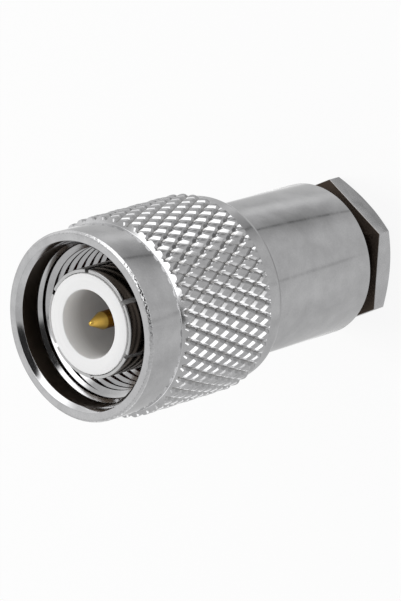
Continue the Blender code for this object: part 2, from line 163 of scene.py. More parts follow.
def linear(code):
    """A linear colour from an sRGB hex code."""
    channels = [int(code[i:i + 2], 16) / 255 for i in (1, 3, 5)]
    return tuple(c / 12.92 if c <= 0.04045 else ((c + 0.055) / 1.055) ** 2.4 for c in channels)


def tint(name, description, code):
    """A colour property, given by its sRGB hex code."""
    return bpy.props.FloatVectorProperty(name=name, description=description, default=linear(code),
                                         size=3, min=0.0, max=1.0, subtype="COLOR")


class NutSizes(bpy.types.PropertyGroup):
    """Sizes of the knurled coupling nut."""

    collar_diameter: length("Collar diameter", "Across the smooth front collar", 14.66)
    collar_length: length("Collar length", "From the mating face to the knurl's front cone", 3.3)
    collar_edge: length("Collar edge", "Width of the chamfer on the collar's front edge", 0.17)
    collar_undercut: length("Collar undercut", "Depth of the fine line turned behind the collar", 0.03)
    land_step: length("Land step", "How far the rear land lies below the collar", 0.02)
    land_edge: length("Land edge", "Radius on the rear edge", 0.55)
    mouth_diameter: length("Mouth diameter", "Bore of the counterbore in front of the thread", 12.54)
    mouth_depth: length("Mouth depth", "Depth of the counterbore", 2.08)
    mouth_chamfer_width: length("Mouth chamfer width", "Radial width of the chamfer at the mouth", 0.31)
    mouth_chamfer_depth: length("Mouth chamfer depth", "Axial depth of the chamfer at the mouth", 0.42)
    lead_width: length("Lead width", "Radial width of the chamfer behind the counterbore", 0.27)
    lead_wall: length("Lead wall", "Height of the short wall between that chamfer and the thread's own", 0.3)
    knurl_rise: length("Knurl rise", "Height of the knurl's crests above the collar", 0.42)
    knurl_depth: length("Knurl depth", "Depth of the knurl's grooves", 0.29)
    knurl_length: length("Knurl length", "Length of the knurled band with its end cones", 10.08)
    knurl_slope: length("Knurl slope", "Length of the knurled band's front cone", 0.4)
    knurl_pitch: length("Knurl axial pitch", "Distance along the axis between two rows of diamonds", 2.25)
    knurl_starts: bpy.props.IntProperty(name="Knurl starts", default=44, min=12,
                                        description="Number of grooves of one hand round the nut")
    knurl_groove: share("Knurl groove share", "Share of the diamond pitch that a groove takes", 0.5)
    # Painted shade: the knurl's grooves are painted darker below this share of their depth.
    groove_shade_start: share("Knurl dark depth", "Share of the grooves' depth that leaves the plate bright", 0.86)
    rear_bore_diameter: length("Rear bore diameter", "Bore that turns on the body's neck", 10.76)
    ring_groove_depth: length("Ring groove depth", "Depth of the snap ring's groove in the bore", 0.4)


class ThreadSizes(bpy.types.PropertyGroup):
    """Sizes of the two screw threads."""

    mating_diameter: length("Mating thread", "Diameter over the mating thread's grooves", 12.1)
    mating_minor: length("Mating minor diameter", "Bore left between the thread's grooves", 11.1)
    mating_pitch: length("Mating pitch", "Pitch of the mating thread, 28 turns to the inch", 25.4 / 28)
    mating_length: length("Mating length", "Length of full thread in the nut", 6.0)
    clamp_diameter: length("Clamp thread", "Major diameter of the clamp thread", 9.7)
    clamp_pitch: length("Clamp pitch", "Pitch of the clamp thread", 0.75)


class BodySizes(bpy.types.PropertyGroup):
    """Sizes of the plug body, and the edge break that all the pieces share."""

    barrel_length: length("Barrel length", "Length of the plain barrel behind the nut", 11.65)
    barrel_edge: length("Barrel edge", "Radius on the barrel's two edges", 0.1)
    neck_diameter: length("Neck diameter", "Neck that the nut turns on", 10.6)
    cavity_diameter: length("Cavity diameter", "Cavity for the clamp parts", 9.82)
    cavity_depth: length("Cavity depth", "From the barrel's rear face to the inner step", 11.5)
    front_bore_diameter: length("Front bore diameter", "Bore round the spring sleeve", 8.48)
    edge_break: length("Edge break", "Radius that deburring and plating leave on a corner", 0.05)


class ContactSizes(bpy.types.PropertyGroup):
    """Sizes of the spring sleeve, the pin and the insulator between them."""

    front_rise: length("Front rise", "How far these pieces stand forward of their solids", 0.2)
    sleeve_diameter: length("Sleeve diameter", "Outer diameter of the spring sleeve", 8.4)
    sleeve_wall: length("Sleeve wall", "Wall of the spring sleeve", 0.27)
    flange_height: length("Flange height", "Height of the sleeve's rear flange", 0.8)
    fingers: bpy.props.IntProperty(name="Fingers", default=6, min=2, step=2,
                                   description="Number of spring fingers, an even one")
    finger_length: length("Finger length", "Depth of the slots between the fingers", 6.9)
    slot_width: length("Slot width", "Width of a slot between two fingers", 0.38)
    slot_turn: bpy.props.FloatProperty(name="Slot turn", default=math.radians(38.0), subtype="ANGLE",
                                       description="Where round the sleeve the first slot lies")
    # Below this lip the sleeve's wall carries painted shade.
    bright_lip: length("Bright lip", "Height of the sleeve's bright front lip", 0.12)
    insulator_diameter: length("Insulator diameter", "Outer diameter of the front insulator", 7.78)
    insulator_edge: length("Insulator edge", "Radius on the insulator's corners", 0.08)
    socket_diameter: length("Socket diameter", "Bore of the insulator round the pin", 5.3)
    socket_depth: length("Socket depth", "Depth of that bore", 5.3)
    clearance: length("Clearance", "Gap between the insulator and the contact inside it", 0.04)
    seat_depth: length("Seat depth", "How far the solder cup enters the front insulator", 2.1)
    pin_diameter: length("Pin diameter", "Diameter of the centre pin", 1.37)
    pin_tip: length("Pin tip length", "Length of the pin's cone", 1.28)
    pin_nose: length("Pin nose radius", "Radius at the end of the cone", 0.2)
    cup_diameter: length("Cup diameter", "Outer diameter of the solder cup", 2.3)
    cup_height: length("Cup height", "Length of the solder cup", 4.6)
    cup_bore: length("Cup bore", "Bore of the solder cup, for the cable's inner wire", 1.0)
    cup_depth: length("Cup depth", "Depth of that bore", 3.4)
    hole_diameter: length("Solder hole", "Diameter of the hole in the solder cup's side", 0.8)
    hole_height: length("Solder hole height", "From the cup's rear face to the middle of that hole", 2.4)


class ClampSizes(bpy.types.PropertyGroup):
    """Sizes of the clamp nut."""

    across_flats: length("Across flats", "Width of the hexagon over its flats", 10.8)
    hex_height: length("Hexagon height", "Height of the hexagon", 1.65)
    hex_edge: length("Hexagon edge", "Radius on the hexagon's edges", 0.05)
    shank_edge: length("Shank edge", "Chamfer at the end of the threaded shank", 0.3)
    cable_bore: length("Cable bore", "Bore for the cable", 5.4)
    cable_chamfer: length("Cable chamfer", "Chamfer where the cable enters", 0.35)
    # How far up the thread the painted shade in the gap under the barrel reaches.
    gap_shade_height: length("Gap height", "Height of the dark plate on the thread in front of the hexagon", 0.4)


class PlugFinishes(bpy.types.PropertyGroup):
    """Colours and polish of the plug's materials."""

    nickel: tint("Nickel", "Colour that the nickel plate reflects", "#CACACB")
    nickel_roughness: share("Nickel roughness", "Roughness of the plated turned faces", 0.1)
    milled_roughness: share("Milled roughness", "Roughness of the plated milled hexagon", 0.24)
    # Painted shade inside the nut's mouth, on the counterbore's wall and the short wall in front of the
    # thread.
    mouth_painted_shade: tint("Recess", "Colour of the thin dark plate inside the nut's mouth", "#6A5F55")
    mouth_roughness: share("Mouth roughness", "Roughness of the counterbore's wall", 0.36)
    lead_roughness: share("Lead roughness", "Roughness of the short wall in front of the thread", 0.2)
    # Painted shade at the bottom of the knurl's grooves.
    groove: tint("Groove", "Colour of the plate at the bottom of the knurl's grooves", "#B0AFAE")
    groove_roughness: share("Groove roughness", "Roughness at the bottom of the knurl's grooves", 0.3)
    # Painted shade in the narrow gap between the barrel and the hexagon.
    gap: tint("Gap", "Colour of the thin dark plate in front of the hexagon", "#544A42")
    gap_roughness: share("Gap roughness", "Roughness of the plate in front of the hexagon", 0.5)
    contact: tint("Contact nickel", "Colour of the spring sleeve's plate", "#CCCCCC")
    # Painted shade down the spring sleeve's wall, deep inside the coupling nut.
    sleeve_wall: tint("Sleeve wall", "Colour of the thin dark plate down the spring sleeve", "#746A61")
    sleeve_roughness: share("Sleeve roughness", "Roughness of the plate down the spring sleeve", 0.14)
    gold: tint("Gold", "Colour that the gold plate reflects", "#EFC562")
    # Painted shade: the darker brown of the pin's shank below its point, down in the insulator's bore.
    gold_shank_shade: tint("Gold shank", "Colour of the thinner plate below the pin's point", "#8A5F1E")
    ptfe: tint("PTFE", "Colour of the insulators", "#FBFBFB")
    silicone: tint("Silicone", "Colour of the sealing rings", "#6B241B")
    bronze: tint("Bronze", "Colour of the snap ring", "#B98A5E")


class StudioSettings(bpy.types.PropertyGroup):
    """The floor, the light tent, the lamp and the lens."""

    floor_colour: tint("Floor", "Colour of the floor", "#F4F4F4")
    floor_white: share("Floor white", "Share of plain white in what the camera sees of the floor", 0.88)
    floor_size: length("Floor size", "Side of the square floor", 1600.0)
    tent_brightness: bpy.props.FloatProperty(name="Tent brightness", default=0.61, min=0.0,
                                             description="Brightness of the tent between its cards")
    fill: bpy.props.FloatProperty(name="Fill", default=0.66, min=0.0,
                                  description="Brightness of the tent for surfaces that don't mirror it")
    key_size: length("Key size", "Side of the square soft lamp", 300.0)
    key_strength: bpy.props.FloatProperty(name="Key strength", default=5.6, min=0.0,
                                          description="Brightness of the soft lamp's face")
    lens: bpy.props.FloatProperty(name="Lens", default=291.59, min=1.0, unit="CAMERA",
                                  description="Focal length on a 36 mm sensor, in millimetres")


def turned(outline, steps=TURNED_STEPS):
    """Spins a closed outline of (radius, height) points about Z; one that ends on the axis has no bore."""
    form = bmesh.new()
    points = [form.verts.new((radius, 0, height)) for radius, height in outline]
    lines = [form.edges.new(pair) for pair in zip(points, points[1:])]
    if outline[0][0] > 0 or outline[-1][0] > 0:
        lines.append(form.edges.new((points[-1], points[0])))
    bmesh.ops.spin(form, geom=points + lines, axis=(0, 0, 1), cent=(0, 0, 0),
                   angle=math.tau, steps=steps, use_merge=True)
    bmesh.ops.remove_doubles(form, verts=form.verts, dist=MERGE_DISTANCE)
    return form


def with_broken_edges(outline, radius, own=None):
    """Rounds each corner of a closed outline, as deburring and plating do. Corners on the axis stay, and own
    gives a corner a radius of its own, or 0 where it stays sharp."""
    corners = [Vector(point) for point in outline]
    rounded = []
    for index, corner in enumerate(corners):
        back = corners[index - 1] - corner
        ahead = corners[(index + 1) % len(corners)] - corner
        turn = back.angle(ahead)
        size = (own or {}).get(outline[index], radius)
        if size == 0 or corner.x < radius or turn > NEARLY_STRAIGHT:
            rounded.append(tuple(corner))
            continue
        reach = min(size / math.tan(turn / 2), LARGEST_REACH * back.length, LARGEST_REACH * ahead.length)
        start = corner + back.normalized() * reach
        end = corner + ahead.normalized() * reach
        arc_steps = EDGE_STEPS if size == radius else ROUND_STEPS
        for step in range(arc_steps + 1):
            t = step / arc_steps
            point = start * (1 - t) ** 2 + corner * 2 * t * (1 - t) + end * t ** 2
            rounded.append(tuple(point))
    return rounded


def solid(name, form):
    """An object made of a bmesh, with its faces pointing out."""
    form.normal_update()
    bmesh.ops.recalc_face_normals(form, faces=form.faces)
    mesh = bpy.data.meshes.new(name)
    form.to_mesh(mesh)
    form.free()
    made = bpy.data.objects.new(name, mesh)
    bpy.context.scene.collection.objects.link(made)
    return made


def work(piece, tool, operation="DIFFERENCE"):
    """Cuts, joins or intersects a piece with a tool form, and clears the tool away."""
    step = piece.modifiers.new(tool.name, "BOOLEAN")
    step.operation = operation
    step.solver = "MANIFOLD"
    step.object = tool
    bpy.context.view_layer.update()
    worked = bpy.data.meshes.new_from_object(piece.evaluated_get(bpy.context.evaluated_depsgraph_get()))
    if not worked.polygons:
        raise RuntimeError(f"{tool.name} left nothing of {piece.name}")
    piece.modifiers.clear()
    spent = piece.data
    piece.data = worked
    bpy.data.meshes.remove(spent)
    bpy.data.objects.remove(tool)


def dress(piece, material, body, slot, *nodes):
    """Shades a finished piece, gives it its material and sets it in place of its nodes."""
    piece.data.shade_smooth()
    piece.data.set_sharp_from_angle(angle=SHARP_ANGLE)
    piece.data.materials.clear()
    piece.data.materials.append(material)
    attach(piece, body)
    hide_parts(*nodes)


def refinish(node, material):
    """Gives a node that keeps its own shape a finished material."""
    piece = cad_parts[node]
    piece.data.materials.clear()
    piece.data.materials.append(material)


def block(width, depth, low, high, angle):
    """An upright box, turned about Z."""
    form = bmesh.new()
    bmesh.ops.create_cube(form, size=1.0)
    size = Matrix.Diagonal((width, depth, high - low, 1.0))
    place = Matrix.Translation((0, 0, (low + high) / 2))
    form.transform(Matrix.Rotation(angle, 4, "Z") @ place @ size)
    return form


def knurl_form(sizes, base, crest, outer, rows):
    """The knurling wheels' print: a ring whose inner wall carries two crossing families of grooves.

    A point lies where groove line u of one hand meets line v of the other. Whole numbers are groove
    bottoms. The inner wall is cut in rows of half an axial pitch, so both ends are even rings.
    """
    form = bmesh.new()
    half = sizes.knurl_groove / 2
    flank = [(place * half, depth) for place, depth in KNURL_FLANK]
    lines = flank + [(0.5, 0.0)] + [(1 - place, depth) for place, depth in reversed(flank[1:])]
    count = len(lines)
    around = sizes.knurl_starts * count
    layers = rows * count

    def line(index):
        place, depth = lines[index % count]
        return index // count + place, depth

    def vertex(radius, column, layer):
        u, first = line(column)
        v, second = line(column - layer)
        angle = (u + v) / 2 * math.tau / sizes.knurl_starts
        height = base + (u - v) / 2 * sizes.knurl_pitch
        if radius is None:
            depth = (first ** KNURL_BLEND + second ** KNURL_BLEND) ** (1 / KNURL_BLEND)
            radius = crest - sizes.knurl_depth * depth
        return form.verts.new((radius * math.cos(angle), radius * math.sin(angle), height))

    wall = [[vertex(None, column, layer) for layer in range(layers + 1)] for column in range(around)]

    def at(column, layer):
        return wall[column % around][layer]

    for column in range(around):
        for layer in range(1, layers):
            form.faces.new((at(column, layer), at(column + 1, layer + 1), at(column + 1, layer),
                            at(column, layer - 1)))
        form.faces.new((at(column, 0), at(column + 1, 1), at(column + 1, 0)))
        form.faces.new((at(column, layers), at(column + 1, layers), at(column, layers - 1)))
    rims = [[vertex(outer, column, layer) for column in range(around)] for layer in (0, layers)]
    for rim, layer in zip(rims, (0, layers)):
        for column in range(around):
            beside = (column + 1) % around
            form.faces.new((at(column, layer), at(column + 1, layer), rim[beside], rim[column]))
    half_turn = layers // 2
    for column in range(around):
        beside, above = (column + 1) % around, (column + half_turn) % around
        form.faces.new((rims[0][column], rims[0][beside], rims[1][(above + 1) % around], rims[1][above]))
    return form


def thread_form(major, pitch, low, high, steps):
    """A right-handed screw form with 60 degree flanks, closed by flat ends. The screw is made with some turns
    to spare below and above, and is then cut off at both ends."""
    form = bmesh.new()
    crest, root = pitch / 8, pitch / 4
    minor = major - (pitch - crest - root) / 2 * math.sqrt(3)
    turn = [(0, major), (crest, major), ((pitch + crest - root) / 2, minor),
            ((pitch + crest + root) / 2, minor)]
    below, above = 2, 1
    turns = math.ceil((high - low) / pitch) + below + above

    def vertex(radius, rise, n, k):
        angle = k * math.tau / steps
        height = low + pitch * (n - below + k / steps) + rise
        return form.verts.new((radius * math.cos(angle), radius * math.sin(angle), height))

    columns = [[vertex(radius, rise, n, k) for n in range(turns) for rise, radius in turn]
               for k in range(steps)]
    for k in range(steps):
        last = k + 1 == steps
        beside = columns[0][len(turn):] if last else columns[k + 1]
        for a, b, c, d in zip(columns[k], columns[k][1:], beside, beside[1:]):
            form.faces.new((a, c, d, b))
    for height, side in ((low, -1), (high, 1)):
        geometry = form.verts[:] + form.edges[:] + form.faces[:]
        bmesh.ops.bisect_plane(form, geom=geometry, plane_co=(0, 0, height), plane_no=(0, 0, side),
                               clear_outer=True)
    bmesh.ops.holes_fill(form, edges=[edge for edge in form.edges if edge.is_boundary])
    return form


def hexagon(across_flats, height, edge):
    """A hexagonal prism that stands on the floor with a flat towards +X and slightly rounded edges."""
    form = bmesh.new()
    radius = across_flats / math.sqrt(3)
    turns = [math.tau / 12 + k * math.tau / 6 for k in range(6)]
    ring = [form.verts.new((radius * math.cos(turn), radius * math.sin(turn), 0.0)) for turn in turns]
    grown = bmesh.ops.extrude_face_region(form, geom=[form.faces.new(ring)])["geom"]
    for item in grown:
        if isinstance(item, bmesh.types.BMVert):
            item.co.z = height
    bmesh.ops.bevel(form, geom=form.edges[:], offset=edge, segments=EDGE_STEPS, affect="EDGES", profile=0.5)
    return form


def feed(tree, node, inputs):
    """Sets inputs of a node, each to a value or to another node's output socket."""
    for key, value in inputs.items():
        socket = node.inputs[key]
        if isinstance(value, bpy.types.NodeSocket):
            tree.links.new(value, socket)
        else:
            socket.default_value = value


def add(tree, kind, inputs=None, **settings):
    """Adds a node with its settings and inputs. A mix node takes its factor in input 0, numbers in inputs 2
    and 3 or colours in inputs 6 and 7, and gives a number in output 0 or a colour in output 2."""
    made = tree.nodes.new(kind)
    for key, value in settings.items():
        setattr(made, key, value)
    feed(tree, made, inputs or {})
    return made


def new_material(name):
    """An empty node material: (material, tree, its Principled shader)."""
    material = bpy.data.materials.new(name)
    material.use_nodes = True
    tree = material.node_tree
    tree.nodes.clear()
    shader = add(tree, "ShaderNodeBsdfPrincipled")
    add(tree, "ShaderNodeOutputMaterial", {"Surface": shader.outputs["BSDF"]})
    return material, tree, shader


def lathe_place(tree):
    """Where the shaded point lies on the lathe: (its place without the height, its radius, its height)."""
    parts = add(tree, "ShaderNodeSeparateXYZ", {"Vector": add(tree, "ShaderNodeTexCoord").outputs["Object"]})
    flat = add(tree, "ShaderNodeCombineXYZ", {"X": parts.outputs["X"], "Y": parts.outputs["Y"]}).outputs[0]
    radius = add(tree, "ShaderNodeVectorMath", {0: flat}, operation="LENGTH").outputs["Value"]
    return flat, radius, parts.outputs["Z"]


def tool_rings(tree, width, change):
    """Noise in streaks of the given width that run round the axis, as a turning tool leaves them. They
    change the faster round the piece, the higher the second value is."""
    flat, radius, height = lathe_place(tree)
    across = add(tree, "ShaderNodeMath", {0: radius, 1: height}, operation="ADD").outputs[0]
    streak = add(tree, "ShaderNodeMath", {0: across, 1: 1 / width}, operation="MULTIPLY").outputs[0]
    direction = add(tree, "ShaderNodeVectorMath", {0: flat}, operation="NORMALIZE").outputs[0]
    split = add(tree, "ShaderNodeSeparateXYZ", {"Vector": direction}).outputs
    scaled = [add(tree, "ShaderNodeMath", {0: split[axis], 1: change}, operation="MULTIPLY").outputs[0]
              for axis in "XY"]
    place = add(tree, "ShaderNodeCombineXYZ", {"X": scaled[0], "Y": scaled[1], "Z": streak}).outputs[0]
    return add(tree, "ShaderNodeTexNoise", {"Vector": place, "Scale": 1.0, "Detail": 2.0}).outputs["Fac"]


def toned(tree, colour, pattern, darkest, lightest):
    """A colour multiplied by a factor that follows a noise pattern."""
    factor = add(tree, "ShaderNodeMapRange", {"Value": pattern, **NOISE_MIDDLE, "To Min": darkest,
                                              "To Max": lightest}).outputs["Result"]
    return add(tree, "ShaderNodeVectorMath", {0: colour, 1: factor}, operation="MULTIPLY").outputs[0]


def band(tree, inner, outer, low, high, fade=0.15 * MM):
    """1 where the radius and the height lie within their limits, 0 elsewhere, fading in from low."""
    radius, height = lathe_place(tree)[1:]
    outside = add(tree, "ShaderNodeMath", {0: radius, 1: inner}, operation="GREATER_THAN").outputs[0]
    inside = add(tree, "ShaderNodeMath", {0: radius, 1: outer}, operation="LESS_THAN").outputs[0]
    below = add(tree, "ShaderNodeMath", {0: height, 1: high}, operation="LESS_THAN").outputs[0]
    above = add(tree, "ShaderNodeMapRange", {"Value": height, "From Min": low,
                                             "From Max": low + fade}).outputs["Result"]
    wall = add(tree, "ShaderNodeMath", {0: inside, 1: outside}, operation="MULTIPLY").outputs[0]
    reach = add(tree, "ShaderNodeMath", {0: below, 1: above}, operation="MULTIPLY").outputs[0]
    return add(tree, "ShaderNodeMath", {0: wall, 1: reach}, operation="MULTIPLY").outputs[0]


def nickel_plate(name, colour, roughness, recesses=(), rim=None):
    """Bright nickel plated on turned or milled metal: neutral grey, with the tool's rings just showing
    through the plate, and cloudy patches a millimetre or so wide where the plate is duller. The rings and
    the fine grain are drawn coarser than real ones, or they wouldn't show. Each of the recesses is painted
    shade: its darker colour where shade falls, its duller roughness and the band that it fills.
    fills. A rim is a band that knocks have left with fine dents, which glitter."""
    material, tree, shader = new_material(name)
    rings = tool_rings(tree, width=0.12 * MM, change=0.8)
    cloud_width, grain_width, dent_width = 1.3 * MM, 0.15 * MM, 0.22 * MM
    place = add(tree, "ShaderNodeTexCoord").outputs["Object"]
    clouds = add(tree, "ShaderNodeTexNoise", {"Vector": place, "Scale": 1 / cloud_width,
                                              "Detail": 3.0}).outputs["Fac"]
    grain = add(tree, "ShaderNodeTexNoise", {"Vector": place, "Scale": 1 / grain_width,
                                             "Detail": 2.0}).outputs["Fac"]
    shade = toned(tree, colour, clouds, darkest=0.9, lightest=1.06)
    shade = toned(tree, shade, grain, darkest=0.965, lightest=1.025)
    dull = add(tree, "ShaderNodeMapRange", {"Value": clouds, **NOISE_MIDDLE, "To Min": roughness - 0.03,
                                            "To Max": roughness + 0.05}).outputs["Result"]
    ringed = add(tree, "ShaderNodeMapRange", {"Value": rings, **NOISE_MIDDLE, "To Min": -0.02,
                                              "To Max": 0.03}).outputs["Result"]
    polish = add(tree, "ShaderNodeMath", {0: dull, 1: ringed}, operation="ADD").outputs[0]
    for painted_shade_colour, recess_roughness, reach in recesses:
        # Within each band of the recesses the darker colour is painted shade, with its own roughness.
        in_painted_shade = band(tree, **reach)
        shade = add(tree, "ShaderNodeMix", {0: in_painted_shade, 6: shade, 7: (*painted_shade_colour, 1.0)},
                    data_type="RGBA").outputs[2]
        polish = add(tree, "ShaderNodeMix", {0: in_painted_shade, 2: polish, 3: recess_roughness}).outputs[0]
    relief = add(tree, "ShaderNodeBump", {"Height": rings, "Strength": 0.05, "Distance": 0.01 * MM})
    relief = add(tree, "ShaderNodeBump", {"Height": grain, "Strength": 0.1, "Distance": 0.01 * MM,
                                          "Normal": relief.outputs["Normal"]})
    if rim:
        dents = add(tree, "ShaderNodeTexNoise", {"Vector": place, "Scale": 1 / dent_width,
                                                 "Detail": 3.0}).outputs["Fac"]
        knocks = add(tree, "ShaderNodeMath", {0: band(tree, **rim), 1: 0.9}, operation="MULTIPLY").outputs[0]
        relief = add(tree, "ShaderNodeBump", {"Height": dents, "Strength": knocks, "Distance": 0.06 * MM,
                                              "Normal": relief.outputs["Normal"]})
    feed(tree, shader, {"Base Color": shade, "Roughness": polish, "Normal": relief.outputs["Normal"],
                        "Metallic": 1.0})
    return material


def gold_plate(colour, shank, shoulder):
    """Gold plated on a turned brass pin: warm yellow, bright, with faint rings of the turning, drawn coarser
    than real ones so that they show. Below the shoulder of its point the colour is painted darker and
    browner, as painted shade on the shank down in the bore, so the point stands out bright."""
    material, tree, shader = new_material("gold_plated_brass")
    rings = tool_rings(tree, width=0.08 * MM, change=0.6)
    place = add(tree, "ShaderNodeTexCoord").outputs["Object"]
    height = add(tree, "ShaderNodeSeparateXYZ", {"Vector": place}).outputs["Z"]
    fade = 0.15 * MM
    # Painted shade: below the shoulder the gold fades to the darker shank colour.
    plating = add(tree, "ShaderNodeMapRange", {"Value": height, "From Min": shoulder - fade,
                                               "From Max": shoulder}).outputs["Result"]
    tone = add(tree, "ShaderNodeMix", {0: plating, 6: (*shank, 1.0), 7: (*colour, 1.0)},
               data_type="RGBA").outputs[2]
    polish = add(tree, "ShaderNodeMapRange", {"Value": rings, **NOISE_MIDDLE, "To Min": 0.12, "To Max": 0.22})
    relief = add(tree, "ShaderNodeBump", {"Height": rings, "Strength": 0.08, "Distance": 0.01 * MM})
    feed(tree, shader, {"Base Color": toned(tree, tone, rings, darkest=0.93, lightest=1.0),
                        "Roughness": polish.outputs["Result"], "Normal": relief.outputs["Normal"],
                        "Metallic": 1.0})
    return material


def turned_ptfe(colour, face):
    """PTFE turned from rod: white, waxy and a little translucent, with soft tool rings. Its colour is painted
    greyer the further it lies behind the face, as painted shade in its deep bore."""
    material, tree, shader = new_material("turned_ptfe")
    rings = tool_rings(tree, width=0.15 * MM, change=0.5)
    place = add(tree, "ShaderNodeTexCoord").outputs["Object"]
    height = add(tree, "ShaderNodeSeparateXYZ", {"Vector": place}).outputs["Z"]
    lip, deep, deep_shade_factor = 0.05 * MM, 2.0 * MM, 0.6
    # Painted shade: the colour darkens from the face down to the given share at this depth.
    depth = add(tree, "ShaderNodeMapRange", {"Value": height, "From Min": face - deep,
                                             "From Max": face - lip, "To Min": deep_shade_factor}).outputs["Result"]
    streaked = toned(tree, colour, rings, darkest=0.97, lightest=1.0)
    tone = add(tree, "ShaderNodeVectorMath", {0: streaked, 1: depth}, operation="MULTIPLY").outputs[0]
    polish = add(tree, "ShaderNodeMapRange", {"Value": rings, **NOISE_MIDDLE, "To Min": 0.42, "To Max": 0.55})
    relief = add(tree, "ShaderNodeBump", {"Height": rings, "Strength": 0.1, "Distance": 0.02 * MM})
    feed(tree, shader, {"Base Color": tone, "Roughness": polish.outputs["Result"],
                        "Normal": relief.outputs["Normal"], "IOR": 1.35, "Subsurface Weight": 0.1,
                        "Subsurface Radius": (0.9, 0.88, 0.86), "Subsurface Scale": 0.5 * MM})
    return material


def moulded_silicone(colour):
    """Silicone rubber moulded in a ring: matte red-brown with a fine dusty bloom."""
    material, tree, shader = new_material("moulded_silicone")
    place = add(tree, "ShaderNodeTexCoord").outputs["Object"]
    bloom_width = 0.4 * MM
    bloom = add(tree, "ShaderNodeTexNoise", {"Vector": place, "Scale": 1 / bloom_width,
                                             "Detail": 4.0}).outputs["Fac"]
    polish = add(tree, "ShaderNodeMapRange", {"Value": bloom, **NOISE_MIDDLE, "To Min": 0.55, "To Max": 0.75})
    feed(tree, shader, {"Base Color": toned(tree, colour, bloom, darkest=0.85, lightest=1.1),
                        "Roughness": polish.outputs["Result"], "IOR": 1.41})
    return material


def spring_bronze(colour):
    """Phosphor bronze wire rolled flat for the snap ring: brown metal, drawn along its length."""
    material, tree, shader = new_material("phosphor_bronze")
    drawn = tool_rings(tree, width=0.06 * MM, change=1.5)
    polish = add(tree, "ShaderNodeMapRange", {"Value": drawn, **NOISE_MIDDLE, "To Min": 0.28, "To Max": 0.42})
    feed(tree, shader, {"Base Color": toned(tree, colour, drawn, darkest=0.8, lightest=1.0),
                        "Roughness": polish.outputs["Result"], "Metallic": 1.0})
    return material


def plain_plate(scene):
    """The nickel plate that the body, the ferrule and the washer share, made when it is first asked for."""
    name = "nickel_plated_brass"
    finish = scene.plug_finishes
    return bpy.data.materials.get(name) or nickel_plate(name, finish.nickel, finish.nickel_roughness)


def nut_places(scene):
    """The coupling nut's radii and heights, worked out from its sizes and its solid."""
    sizes, threads = scene.plug_nut, scene.plug_threads
    at = SimpleNamespace(edge=scene.plug_body.edge_break, top=top_of("coupling_nut"),
                         bottom=bottom_of("coupling_nut"))
    at.collar = sizes.collar_diameter / 2
    at.land = at.collar - sizes.land_step
    at.crest = at.collar + sizes.knurl_rise
    at.stock = at.crest + at.edge
    at.mouth = sizes.mouth_diameter / 2
    at.lead = at.mouth - sizes.lead_width
    at.minor = threads.mating_minor / 2
    at.relief = threads.mating_diameter / 2 + at.edge
    at.rear_bore = sizes.rear_bore_diameter / 2
    at.groove = at.rear_bore + sizes.ring_groove_depth
    at.collar_low = at.top - sizes.collar_length
    at.knurl_high = at.collar_low - sizes.knurl_slope
    at.knurl_low = at.collar_low - sizes.knurl_length
    at.knurl_foot = at.knurl_low + (at.stock - at.land)
    at.mouth_high = at.top - sizes.mouth_chamfer_depth
    at.mouth_low = at.top - sizes.mouth_depth
    at.lead_top = at.mouth_low - sizes.lead_width
    at.lead_low = at.lead_top - sizes.lead_wall
    at.thread_top = at.lead_low - (at.lead - at.minor) * math.tan(CHAMFER_ANGLE)
    at.thread_low = at.thread_top - threads.mating_length
    return at


